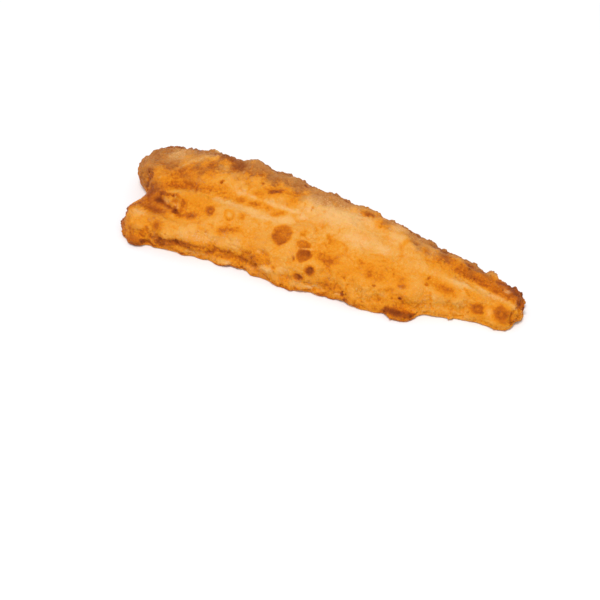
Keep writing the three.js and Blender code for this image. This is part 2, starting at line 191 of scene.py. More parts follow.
# ---- Where the batter is coloured
# How toasted a blister is inside, along its rim and round its core.
DISCS = {
    "ring_1": (0.08, 0.2, 0.3), "ring_2": (0.08, 0.26, 0.0), "ring_3": (0.03, 0.06, 0.03),
    "ring_4": (0.0, 0.13, 0.05), "ring_5": (0.02, 0.15, 0.08), "ring_6": (0.0, 0.07, 0.0),
    "burst_a": (0.37, 0.1, 0.08), "burst_b": (0.38, 0.1, 0.08), "burst_b_cap": (0.34, 0.1, 0.0),
    "tail_ring": (0.2, 0.1, 0.05), "tail_ring_cap": (0.24, 0.12, 0.0), "tail_spot": (0.2, 0.08, 0.04),
}

# Each is ("line", path, half width, strength) or ("dab", middle, half sizes, turn, strength), in mm and
# degrees. A trail is a line, and a haze is a dab, that fades away over twice its size.
# Toasted marks; the darkest along the split, under its lip, in the cracks and in the creases of the loin
# lobe, the nub and the flap are partly painted shade in those creases.
TOAST_AND_CREASE_SHADE = (
    # The split's dark mouth and crack: painted shade in the crack over browned batter.
    ("haze", (-91.5, -12.5, 14), 4.0, 1.7, 8, 0.8),
    ("haze", (-88, -14, 15), 2.2, 1.4, -10, 0.55),
    ("trail", [(-88, -14, 15), (-84, -16, 15), (-78, -18, 15)], 1.0, 0.6),
    # The dark hole under the lip: painted shade in the hole over browned batter.
    ("haze", (-78, -18.5, 15.5), 2.2, 2.0, 0, 0.75),
    ("trail", [(-78, -18, 15), (-73, -22, 16), (-69, -21, 17), (-64, -21, 18)], 1.9, 0.42),
    ("trail", [(-106, -8, 11), (-102, -12, 12), (-98, -14, 13), (-92, -16, 13)], 3.4, 0.27),
    ("line", [(-92, -10, 17), (-85, -11, 20), (-79, -13, 23), (-76, -14, 21), (-75, -16, 19),
              (-74, -19, 17)], 1.3, 0.42),
    ("dab", (-81, -15, 19), 2.8, 2.4, 0, 0.3),
    ("line", [(-107, 2, 20), (-103, 0, 20), (-106, 0, 14), (-108, 1, 9)], 2.0, 0.3),
    ("trail", [(-108, 1, 9), (-107, -4, 8), (-106, -8, 8)], 3.0, 0.32),
    ("haze", (-101, -8, 13), 5.0, 4.2, 0, 0.36),
    ("haze", (-89, -18, 13), 8.0, 3.4, -14, 0.32),
    ("haze", (-97, -21, 13), 6.0, 3.0, -30, 0.12),
    ("haze", (-86, -28, 14), 5.0, 3.0, 20, 0.12),
    ("haze", (-83, -32, 14), 2.6, 3.0, 0, 0.26),
    ("trail", [(-104, -29, 11), (-103, -23, 13), (-102, -15, 12)], 2.6, 0.42),
    ("haze", (-76, -30, 13), 6.0, 2.4, 0, 0.14),
    ("trail", [(-104, -33, 7), (-97, -35, 8), (-90, -35, 9)], 1.6, 0.24),
    ("trail", [(-107, -24, 10), (-105, -30, 7), (-101, -35, 5)], 2.8, 0.36),
    ("trail", [(-90, 3, 22), (-87, 5, 23), (-84, 7, 24), (-79, 9, 25)], 5.0, 0.08),
    ("trail", [(-97, -10, 14), (-91, -7, 20), (-83, 0, 21), (-68, -1, 22), (-55, 0, 23)], 4.0, 0.1),
    ("trail", [(-68, 24, 29), (-63, 22, 28), (-58, 20, 28)], 3.6, 0.5),
    ("haze", (-58.5, 19, 28), 4.4, 4.0, 0, 0.56),
    ("trail", [(-55, 19, 28), (-45, 17, 28), (-32, 15, 28), (-18, 14, 28)], 6.0, 0.22),
    ("haze", (-67, 20, 28), 4.4, 3.0, 0, 0.36),
    ("haze", (-73, 15, 27), 3.4, 3.0, 0, 0.36),
    ("haze", (-70, 8, 26), 10.0, 6.0, 0, 0.12),
    ("haze", (-48, 8, 27), 18.0, 8.0, 0, 0.16),
    ("trail", [(0, 14, 28), (14, 14, 28), (30, 14, 27), (46, 12, 26)], 4.0, 0.15),
    ("dab", (-61, 5, 26), 1.6, 1.6, 0, 0.55),
    ("dab", (-43, 18, 28), 2.2, 1.6, 0, 0.45),
    ("dab", (-39, 12, 27), 1.4, 1.3, 0, 0.75),
    ("line", [(-45, 8, 27), (-44, 5, 27)], 0.9, 0.35),
    ("dab", (-54, 14, 27), 2.4, 2.0, 90, 0.2),
    ("dab", (-28, 7, 28), 4.5, 2.2, 8, 0.42),
    ("dab", (-26, 9, 29), 2.0, 1.4, 0, 0.4),
    ("line", [(-18, 22, 27), (-15, 20, 27)], 0.8, 0.6),
    ("dab", (-20, 21, 27), 1.2, 1.0, 0, 0.3),
    ("line", [(8, 19, 27), (13, 17, 28)], 0.9, 0.45),
    ("line", [(49, 14, 25), (51, 13, 25)], 0.9, 0.5),
    ("line", [(-10, 6, 28), (-9, 4, 26), (-10, 2, 25), (-9, -1, 24)], 0.55, 0.36),
    ("line", [(-4, 6, 27), (-4, 4, 26)], 0.7, 0.4),
    ("dab", (3, 5, 27), 1.7, 1.2, 0, 0.42),
    ("line", [(3, -5, 24), (5, -7, 23)], 0.7, 0.25),
    ("line", [(-31, -22, 18), (-30, -21, 18), (-27, -21, 18)], 0.8, 0.22),
    ("trail", [(-46, -25, 18), (-43, -23, 18), (-38, -23, 19)], 2.4, 0.34),
    ("line", [(-57, -30, 12), (-54, -28, 14)], 1.0, 0.25),
    ("line", [(-60, -24, 18), (-56, -24, 18), (-52, -23, 18)], 0.8, 0.18),
    ("dab", (11, -29, 14), 3.5, 3.1, 0, 0.66),
    ("dab", (5, -32, 9), 4.4, 3.0, -10, 0.46),
    ("dab", (6, -31.5, 9.5), 2.2, 2.0, 0, 0.62),
    ("line", [(0, -27, 18), (0, -28, 17)], 1.0, 0.42),
    ("trail", [(-10, -32, 10), (-8, -33, 7)], 1.2, 0.42),
    ("trail", [(-62, -36, 1), (-46, -34.5, 1.2), (-34, -33, 0.8), (-25, -33.5, 1), (-13, -35, 2),
               (5, -35, 1.5), (13, -33, 1.5), (25, -32, 1), (31, -32, 1)], 1.7, 0.5),
    ("line", [(-79, -35, 4), (-76, -36, 6), (-74, -35, 7), (-68, -34, 8.5), (-61, -34, 8)], 2.9, 0.56),
    ("trail", [(-61, -34, 8), (-54, -33, 7.5), (-48, -31, 7.5), (-42, -30, 8)], 4.4, 0.36),
    ("trail", [(-44, -31, 7.5), (-36, -30, 7), (-30, -30, 7)], 3.4, 0.34),
    ("line", [(-29, -29, 10), (-23, -29, 14), (-17, -29, 14), (-14, -30, 12), (-18, -32, 9), (-25, -30, 5),
              (-31, -30, 5)], 0.9, 0.2),
    ("haze", (-21, -31, 11), 8.0, 4.2, 0, 0.28),
    ("line", [(31, -30, 7), (31, -30, 4), (33, -30, 1)], 1.3, 0.62),
    ("dab", (34, -31, 4), 2.8, 1.6, 0, 0.6),
    ("line", [(30, -27, 14), (33, -28, 12), (33, -30, 10)], 1.0, 0.3),
    ("line", [(14, -31, 4), (18, -31, 3), (24, -31, 3), (28, -30, 3)], 0.9, 0.42),
    ("line", [(38, -31, 2), (46, -30, 2), (51, -30, 3)], 1.0, 0.45),
    # The flap's dark crease: painted shade over brown batter.
    ("trail", [(56, -29, 3.5), (61, -30, 4.5), (65, -29, 4), (70, -27, 3.5)], 2.4, 0.95),
    ("trail", [(53, -29, 1), (58, -31, 2), (62, -31, 2), (67, -30, 2)], 2.4, 0.45),
    ("dab", (47, -26, 15), 0.9, 0.9, 0, 0.45),
    ("dab", (61, -24, 10), 0.8, 0.8, 0, 0.75),
    ("dab", (72, -13, 16), 1.5, 1.2, 0, 0.42),
    ("line", [(71, -10, 17), (72, -8, 17)], 0.7, 0.36),
    ("line", [(51, -26, 13), (53, -25, 13), (57, -22, 13), (60, -19, 14), (64, -19, 15)], 1.2, 0.14),
    ("trail", [(73, 7, 20), (79, 6, 20), (84, 6, 18)], 3.4, 0.44),
    ("trail", [(82, 7, 18), (85, 10, 17), (88, 11, 16)], 2.2, 0.5),
    ("line", [(84, 5, 18), (90, 4.5, 16), (94, 5, 15), (99, 5, 14), (104, 4, 13.5), (108, 4, 13),
              (112, 4, 13)], 3.6, 0.52),
    ("haze", (114, 6, 12), 8.0, 6.0, -15, 0.78),
    ("haze", (119, 3, 9), 4.0, 5.0, 0, 0.74),
    ("trail", [(91, 7, 16), (96, 7, 15), (102, 7, 14)], 3.0, 0.5),
    ("trail", [(106, 8, 13), (110, 10, 12), (114, 10, 10), (118, 9, 8)], 3.6, 0.68),
    ("trail", [(108, 3, 13), (113, 2, 13), (117, 1, 12), (119, 5, 9)], 2.4, 0.42),
    ("line", [(117, 10, 9), (120, 7, 6), (122, 3, 5)], 3.0, 0.62),
    ("line", [(89, -5, 15), (92, -6, 14), (94, -9, 13)], 0.8, 0.28),
    ("line", [(75, -16, 13), (76, -17, 11), (77, -17, 9)], 0.8, 0.25),
    ("dab", (83, -11, 15), 4.0, 2.2, -10, 0.2),
    ("dab", (100, -7, 12), 2.0, 1.5, 0, 0.2),
    ("haze", (115, -11, 6), 4.0, 3.0, 0, 0.32),
    ("trail", [(76, -19, 3), (84, -17, 3), (90, -16, 3)], 1.6, 0.16),
    ("line", [(122, 1, 6), (122, -4, 5), (120, -9, 4)], 1.4, 0.4),
    ("dab", (-93, -40, 4), 7.5, 3.6, 0, 0.55),
    ("dab", (-89, -38.5, 4.5), 2.6, 1.6, 0, 0.85),
    ("line", [(-100, -36, 5), (-95, -37, 6.5), (-91, -36, 7), (-88, -36, 6)], 1.0, 0.4),
    ("line", [(-88, -34, 11), (-86, -35, 8), (-84, -36, 7), (-82, -36, 4)], 1.1, 0.22),
)
AMBER = (
    ("dab", (-99, -3, 21), 7.0, 6.0, 0, 0.3),
    ("dab", (-100, 6, 23), 5.0, 5.0, 0, 0.12),
    ("dab", (-66, -14, 23), 11.0, 7.0, 10, 0.5),
    ("line", [(-97, -10, 15), (-91, -7, 20), (-83, 0, 21), (-68, -1, 22), (-58, 0, 23)], 4.2, 0.42),
    ("line", [(-92, 1, 22), (-86, 5, 23), (-80, 7, 24), (-73, 11, 26)], 6.0, 0.4),
    ("dab", (-97, 12, 23), 6.0, 3.0, 30, 0.12),
    ("dab", (-93, -20, 13), 6.0, 3.0, -20, 0.45),
    ("dab", (-106, -26, 8), 4.0, 6.0, 90, 0.3),
    ("dab", (-82, -32, 13), 3.6, 2.6, 0, 0.4),
    ("dab", (-55, -1, 22), 6.0, 2.6, -10, 0.62),
    ("dab", (-44.5, -2, 23), 4.0, 2.4, -6, 0.62),
    ("dab", (-36, -2, 23), 6.0, 2.6, 8, 0.66),
    ("dab", (-28, -2, 24), 3.6, 2.0, 0, 0.6),
    ("dab", (-23, -5, 22), 3.2, 2.4, 0, 0.66),
    ("dab", (-20.5, -3, 23.5), 3.0, 2.0, 10, 0.65),
    ("dab", (-30, -13, 22), 2.6, 2.0, 0, 0.35),
    ("dab", (-23, -11, 22), 1.7, 1.5, 0, 0.4),
    ("dab", (-38.5, -14, 22), 3.4, 1.8, 75, 0.4),
    ("dab", (-36, -22, 19), 3.0, 2.0, 0, 0.4),
    ("dab", (-28, 7, 28), 8.0, 4.0, 8, 0.6),
    ("dab", (-36, 4, 27), 5.0, 3.0, 0, 0.45),
    ("dab", (-17, 6, 28), 5.0, 4.0, 10, 0.4),
    ("dab", (-1, -12, 22), 2.2, 2.0, 0, 0.75),
    ("dab", (7, -3, 25), 2.4, 1.8, 0, 0.3),
    ("dab", (25, 14, 27), 3.2, 1.6, 0, 0.75),
    ("dab", (34, 10, 27), 3.6, 2.8, 0, 0.4),
    ("line", [(34, 8, 26), (37, 9, 26), (38, 12, 26)], 0.8, 0.6),
    ("line", [(11, -8, 22), (14, -10, 22), (16, -11, 22)], 1.7, 0.6),
    ("line", [(18, -10, 23), (22, -11, 23), (25, -13, 22)], 0.7, 0.6),
    ("dab", (24, -14, 22), 2.2, 1.6, 0, 0.4),
    ("dab", (17, -22, 19), 7.5, 4.0, -5, 0.72),
    ("dab", (17, -12, 22), 5.0, 2.6, -30, 0.5),
    ("dab", (-25, -29, 16), 4.0, 3.0, 0, 0.25),
    ("dab", (16, -19, 20), 9.0, 7.0, 0, 0.34),
    ("dab", (47, -17, 19), 17.0, 9.0, 0, 0.4),
    ("dab", (30, -24, 16), 12.0, 5.0, 0, 0.35),
    ("line", [(41, -16, 19), (42, -22, 17)], 2.6, 0.6),
    ("dab", (35.5, -17, 20), 3.0, 2.0, 0, 0.7),
    ("line", [(53, -13, 19), (55, -17, 17)], 0.7, 0.8),
    ("dab", (58, -17, 16), 5.0, 4.0, 0, 0.45),
    ("dab", (59, -20, 14), 5.0, 2.4, 20, 0.4),
    ("dab", (59, -25, 9), 12.0, 4.5, 0, 0.4),
    ("dab", (22, -29, 8), 8.0, 3.4, 0, 0.5),
    ("line", [(51, 2, 24), (52, 5, 25), (57, 7, 24)], 1.4, 0.5),
    ("dab", (63, 6, 21), 2.2, 1.6, 0, 0.6),
    ("dab", (72, -11, 17), 5.0, 3.5, 0, 0.45),
    ("dab", (82, -11, 15), 8.0, 4.0, -10, 0.6),
    ("dab", (76, 0, 19), 9.0, 4.0, -10, 0.45),
    ("dab", (70, -20, 12), 10.0, 5.0, 0, 0.2),
    ("dab", (82, -17, 4), 6.0, 2.0, 0, 0.2),
    ("dab", (96, -7, 13), 6.0, 3.0, -20, 0.35),
    ("dab", (101, -11, 7), 5.0, 4.2, 0, 0.5),
    ("dab", (114, -9, 9), 6.0, 5.0, 0, 0.5),
    ("dab", (-21, -31, 10), 8.0, 4.5, 0, 0.4),
    ("line", [(-66, -35, 5), (-50, -34, 4), (-34, -33, 3)], 3.0, 0.12),
    ("line", [(-96, -36, 8), (-90, -36, 8), (-80, -35, 8)], 2.0, 0.25),
    ("dab", (-47, -26, 17), 5.0, 2.4, 20, 0.2),
)
# Pale marks: floured, thick batter, and painted highlights where lips and ridges catch the light: the split's
# lip, the midline shelf, the ledge lips and the tail ridge.
PALE = (
    ("line", [(-95, 0, 24), (-91, 6, 23), (-88, 11, 25), (-83, 16, 27), (-78, 23, 26)], 1.4, 0.28),
    ("line", [(-98, -3, 22), (-94, -1, 23), (-92, 3, 23)], 1.1, 0.35),
    ("dab", (-97, 18, 24), 8.0, 6.0, 40, 0.35),
    ("dab", (-96, -28, 14), 5.0, 3.2, 0, 0.5),
    ("line", [(-58, -7, 23), (-47, -8, 23), (-42, -8, 23), (-37, -8, 23), (-32, -9, 22), (-27, -9, 23),
              (-20, -8, 23), (-12, -6, 23)], 2.4, 0.5),
    ("dab", (-27, 0, 26), 5.0, 1.8, 0, 0.65),
    ("dab", (-32, -8, 23), 5.0, 2.0, 0, 0.4),
    ("dab", (-39, 1, 25), 4.0, 1.6, 0, 0.55),
    ("dab", (-47, 2, 24.5), 3.0, 2.4, 0, 0.6),
    ("dab", (-45, -16, 22), 1.4, 1.1, 0, 0.55),
    ("dab", (-51, 6, 26.5), 4.0, 2.0, 90, 0.4),
    ("line", [(-21, 0, 25), (-14, 0, 25), (-9, 1, 25)], 1.4, 0.65),
    ("dab", (-7, -1, 24), 3.0, 2.0, 0, 0.65),
    ("dab", (-5, 4, 27), 3.0, 3.0, 0, 0.55),
    ("dab", (12, 6, 28), 20.0, 8.0, 0, 0.68),
    ("dab", (24, 4, 27), 8.0, 6.0, 0, 0.4),
    ("dab", (30, -6, 24), 11.0, 4.6, 0, 0.55),
    ("dab", (42, -5, 23), 7.0, 3.4, 0, 0.6),
    ("dab", (44, 12, 26), 5.0, 3.0, 0, 0.5),
    ("dab", (46, 4, 25), 5.0, 4.0, 0, 0.4),
    ("line", [(2, -20, 19), (5, -19, 18), (8, -18, 19)], 0.7, 0.6),
    ("line", [(-23, -29, 14), (-20, -29, 15), (-18, -29, 14)], 0.9, 0.6),
    ("dab", (-22, -32, 4), 6.0, 2.0, 0, 0.6),
    ("dab", (5, -33, 5), 6.0, 1.8, 0, 0.4),
    ("dab", (-15, -33, 8), 6.0, 2.6, 0, 0.75),
    ("line", [(-62, -35, 4), (-50, -34, 3.5), (-38, -33, 3)], 1.8, 0.6),
    ("dab", (-4, -32, 10), 3.0, 2.0, 0, 0.4),
    ("line", [(-66, -32, 13), (-56, -30, 13), (-44, -28, 13), (-34, -27, 14)], 3.0, 0.4),
    ("line", [(10, -32, 4.5), (15, -31, 6), (19, -30, 5), (25, -30, 4.5), (29, -30, 5)], 0.9, 0.65),
    ("dab", (53, -26, 11), 2.0, 1.4, 0, 0.55),
    # The tail ridge's lit top: painted highlight.
    ("dab", (87, -5, 17), 4.5, 2.0, 0, 0.55),
    ("dab", (91, -4, 15.5), 4.0, 1.8, 0, 0.55),
    ("line", [(98, -0.5, 13), (103, -0.5, 12), (107, -1.5, 11.5), (114, -3.5, 12), (119, -5.5, 11.5)],
     1.8, 0.45),
    ("dab", (119, -3, 9), 2.4, 2.0, 0, 0.4),
    ("dab", (107, -10, 8), 3.0, 2.0, 0, 0.45),
    ("dab", (77, -16, 11), 2.0, 1.6, 0, 0.5),
    ("dab", (111, 4, 13), 2.0, 1.5, 0, 0.85),
    ("dab", (104, 15, 13), 2.4, 1.6, 0, 0.7),
    ("dab", (-79, 33, 25), 3.4, 2.4, 0, 0.95),
    # The split's lit lip: painted highlight.
    ("line", [(-89, -12.5, 15.5), (-84, -14.5, 16.5), (-80, -16, 17), (-77, -17.5, 17)], 1.0, 0.5),
    ("line", [(-82, -12, 21), (-79, -14, 20), (-77, -17, 17)], 0.8, 0.3),
)


def deselect():
    """Leaves nothing selected, the solid included."""
    for piece in bpy.context.scene.objects:
        piece.select_set(False)


def take(piece):
    """Makes piece the only selected and active one."""
    deselect()
    piece.select_set(True)
    bpy.context.view_layer.objects.active = piece


def finish_with(piece, kind, **settings):
    """Adds a modifier with these settings and applies it."""
    take(piece)
    modifier = piece.modifiers.new(kind.title(), kind)
    for name, value in settings.items():
        setattr(modifier, name, value)
    bpy.ops.object.modifier_apply(modifier=modifier.name)


def ease(x, low=0.0, high=1.0):
    """Smoothly from 0 at low to 1 at high."""
    t = np.clip((x - low) / (high - low), 0, 1)
    return t * t * (3 - 2 * t)


class Skin:
    """The points of a piece in mm, with their normals and neighbours."""

    def __init__(self, mesh):
        self.mesh = mesh
        ends = np.empty(len(mesh.edges) * 2, np.int64)
        mesh.edges.foreach_get("vertices", ends)
        self.start, self.end = ends.reshape(-1, 2).T
        self.count = len(mesh.vertices)
        self.links = sum(np.bincount(side, minlength=self.count) for side in (self.start, self.end))
        self.read()

    def read(self):
        flat = np.empty(self.count * 3, np.float32)
        self.mesh.vertices.foreach_get("co", flat)
        self.at = flat.reshape(-1, 3).astype(float) / MM
        self.mesh.vertex_normals.foreach_get("vector", flat)
        self.normal = flat.reshape(-1, 3).astype(float)

    def write(self):
        self.at[:, 2] = np.maximum(self.at[:, 2], 0)
        self.mesh.vertices.foreach_set("co", (self.at * MM).astype(np.float32).ravel())
        self.mesh.update()
        self.read()

    def blurred(self, values, steps):
        """values, evened out with the neighbours that many times."""
        rows = values.T if values.ndim > 1 else values[None]
        rows = rows.copy()
        for _ in range(steps):
            for row in rows:
                near = np.bincount(self.start, row[self.end], self.count)
                near += np.bincount(self.end, row[self.start], self.count)
                row[:] = row / 2 + near / self.links / 2
        return rows.T if values.ndim > 1 else rows[0]

    def push(self, height, steps=12):
        """Moves the points out by height, in mm, along softened normals."""
        way = self.blurred(self.normal, steps)
        way /= np.linalg.norm(way, axis=1)[:, None] + 1e-9
        self.at += way * height[:, None]
        self.write()

    def keep(self, name, values):
        """Stores one number a point for the materials."""
        layer = self.mesh.attributes.new(name, "FLOAT", "POINT")
        layer.data.foreach_set("value", np.clip(values, 0, 1).astype(np.float32))


def wave(points, size, seed, octaves=2):
    """A smooth noise of about -1 to 1 whose waves are size mm long."""
    shift = Vector((seed * 13.7, seed * 7.3, seed * 3.1))
    return np.array([noise.fractal(Vector(p) / size + shift, 0.9, 2.0, octaves) for p in points.tolist()])


def pillows(points, size, seed):
    """Swollen patches size mm across: 0 in the creases between them, 1 on top."""
    shift = Vector((seed * 5.3, seed * 11.9, seed * 2.7))
    gaps = []
    for p in points.tolist():
        v = Vector(p) / size + shift
        near = noise.voronoi(v + noise.noise_vector(v * 1.6) * 0.35)[0]
        gaps.append(near[1] - near[0])
    return ease(np.array(gaps), 0.0, 0.6)


def stirred(points, size, reach, seed):
    """The points, moved about by up to reach mm, so that what they outline loses its straight edges."""
    shift = Vector((seed * 3.9, seed * 8.1, seed * 6.7))
    moves = [noise.noise_vector(Vector(p) / size + shift) for p in points.tolist()]
    return points + reach * np.array(moves)


def off_line(points, path):
    """How far each point lies from a path, in mm."""
    best = np.full(len(points), 1e9)
    path = np.array(path, float)
    for a, b in zip(path, path[1:]):
        run = b - a
        t = np.clip((points - a) @ run / (run @ run), 0, 1)
        best = np.minimum(best, np.linalg.norm(points - a - t[:, None] * run, axis=1))
    return best


def off_dab(points, middle, long, wide, turn):
    """Distance from a spot's middle, 1 on its outline."""
    away = points - np.array(middle, float)
    way = np.array([cos(radians(turn)), sin(radians(turn)), 0])
    run = away @ way
    rest = np.linalg.norm(away - run[:, None] * way, axis=1)
    return np.hypot(run / long, rest / wide)


def painted(points, marks, ragged, soft=0.0):
    """The strongest of the marks at each point.

    ragged moves their outlines, in mm, and soft, from 0 to 1, lets the lines and dabs fade further out.
    """
    total = np.zeros(len(points))
    for kind, where, *rest in marks:
        blur = 1.0 if kind in ("trail", "haze") else soft
        if kind in ("line", "trail"):
            width, strength = rest
            far = off_line(points, where) / width + ragged / (width + 1.5)
        else:
            long, wide, turn, strength = rest
            far = off_dab(points, where, long, wide, turn) + ragged / (0.5 * (long + wide) + 1.5)
        total = np.maximum(total, strength * (1 - ease(far, 0.45 * (1 - blur), 1.5 + 0.5 * blur)))
    return total


class CrustSettings(bpy.types.PropertyGroup):
    """Sizes of the crust's relief."""

    facet_grid: FloatProperty(name="Facet grid", description="Voxel that melts the solid's facets",
                              default=1.15 * MM, unit="LENGTH")
    skin_grid: FloatProperty(name="Skin grid", description="Voxel of the finished skin",
                             default=0.6 * MM, unit="LENGTH")
    swell_size: FloatProperty(name="Swell size", description="Swells' width, mm", default=12.0)
    swell_height: FloatProperty(name="Swell height", description="Swells' height, mm", default=0.7)
    blister_size: FloatProperty(name="Blister size", description="Blisters' width, mm", default=5.0)
    blister_height: FloatProperty(name="Blister height", description="Blisters' height, mm", default=0.45)
    grain_height: FloatProperty(name="Grain height", description="Fine grain's height, mm", default=0.1)
    rim_height: FloatProperty(name="Rim crags", description="Height of the edges' crags, mm", default=1.15)
    knob_height: FloatProperty(name="Knobs", description="Height of the edges' wide knobs, mm", default=1.5)
    hem_teeth: FloatProperty(name="Hem teeth", description="Reach of the hem's ragged teeth, mm", default=1.3)


class ColourSettings(bpy.types.PropertyGroup):
    """Colours of the batter, from the least fried to the most, then that of floured batter with painted
    highlights, and those of the loin's far side with its painted shade and sheen.
    """

    blond: FloatVectorProperty(name="Blond", description="Thick batter that stays light", subtype="COLOR",
                               default=(0.83, 0.45, 0.125))
    gold: FloatVectorProperty(name="Gold", description="Most of the crust", subtype="COLOR",
                              default=(0.79, 0.315, 0.028))
    honey: FloatVectorProperty(name="Honey", description="Thinner batter", subtype="COLOR",
                               default=(0.82, 0.275, 0.005))
    amber: FloatVectorProperty(name="Amber", description="Hollows", subtype="COLOR",
                               default=(0.58, 0.138, 0.003))
    brown: FloatVectorProperty(name="Brown", description="Toasted edges", subtype="COLOR",
                               default=(0.33, 0.067, 0.005))
    dark: FloatVectorProperty(name="Dark", description="Burst blisters and the darkest edges",
                              subtype="COLOR", default=(0.15, 0.026, 0.003))
    # Floured batter, and the painted highlights on lips and ridges.
    flour_and_highlight_colour: FloatVectorProperty(name="Flour", description="Dry, floury batter", subtype="COLOR",
                               default=(0.85, 0.48, 0.18))
    # Cream, tan and umber colour the loin's far side darker and greyer than the crisp batter: painted shade
    # with a painted grazing reflection. At the head end they are the batter's own tan.
    cream: FloatVectorProperty(name="Cream", description="Lightest of the dull batter on the loin",
                               subtype="COLOR", default=(0.60, 0.285, 0.10))
    tan: FloatVectorProperty(name="Tan", description="Most of the dull batter on the loin",
                             subtype="COLOR", default=(0.42, 0.155, 0.036))
    umber: FloatVectorProperty(name="Umber", description="Toasted dull batter", subtype="COLOR",
                               default=(0.28, 0.073, 0.013))


class CrumbSettings(bpy.types.PropertyGroup):
    """Crumbs of batter on the edges."""

    count: IntProperty(name="Crumbs", description="How many crumbs are set", default=420, min=1)
    smallest: FloatProperty(name="Smallest", description="Smallest radius", default=0.35 * MM, unit="LENGTH")
    largest: FloatProperty(name="Largest", description="Largest radius", default=0.82 * MM, unit="LENGTH")


class StudioSettings(bpy.types.PropertyGroup):
    """Light and camera."""

    floor: FloatProperty(name="Floor", description="Width of the floor", default=8.0, unit="LENGTH")
    sky: FloatProperty(name="Sky", description="Strength of the light from all around", default=0.66)
    key: FloatProperty(name="Key", description="Power of the soft light in front", default=60.0)
    lens: FloatProperty(name="Lens", description="Focal length in mm on a 36 mm sensor", default=105.0)
    azimuth: FloatProperty(name="Azimuth", description="Camera's turn, in degrees", default=27.0)
    elevation: FloatProperty(name="Elevation", description="Camera's height, in degrees", default=41.0)
    distance: FloatProperty(name="Distance", description="Camera's distance", default=0.939, unit="LENGTH")


class Shader:
    """A material's nodes, added one at a time."""

    def __init__(self, name):
        self.material = bpy.data.materials.new(name)
        self.material.use_nodes = True
        self.tree = self.material.node_tree
        self.tree.nodes.clear()

    def node(self, kind, inputs=(), **settings):
        made = self.tree.nodes.new("ShaderNode" + kind)
        for name, value in settings.items():
            setattr(made, name, value)
        for name, value in dict(inputs).items():
            if isinstance(value, bpy.types.NodeSocket):
                self.tree.links.new(value, made.inputs[name])
            else:
                made.inputs[name].default_value = value
        return made

    def math(self, operation, a, b=0.0):
        return self.node("Math", {0: a, 1: b}, operation=operation).outputs[0]

    def ramp(self, value, low, high, to_low=0.0, to_high=1.0):
        return self.node("MapRange", {0: value, 1: low, 2: high, 3: to_low, 4: to_high},
                         interpolation_type="SMOOTHSTEP").outputs[0]

    def mix(self, share, a, b):
        return self.node("Mix", {0: share, 6: a, 7: b}, data_type="RGBA").outputs[2]

    def shades(self, value, steps):
        """A colour ramp through these (place, colour) steps."""
        ramp = self.node("ValToRGB", {0: value})
        stops = ramp.color_ramp
        stops.interpolation = "B_SPLINE"
        while len(stops.elements) < len(steps):
            stops.elements.new(0.5)
        for stop, (place, colour) in zip(stops.elements, steps):
            stop.position = place
            stop.color = rgba(colour)
        return ramp.outputs[0]

    def grain(self, where, size, detail, rough=0.55, swirl=0.0):
        return self.node("TexNoise", {"Vector": where, "Scale": 1 / size, "Detail": detail,
                                      "Roughness": rough, "Distortion": swirl}).outputs[0]

    def stored(self, name):
        return self.node("Attribute", attribute_name=name).outputs["Fac"]


def rgba(colour):
    return (*colour, 1.0)


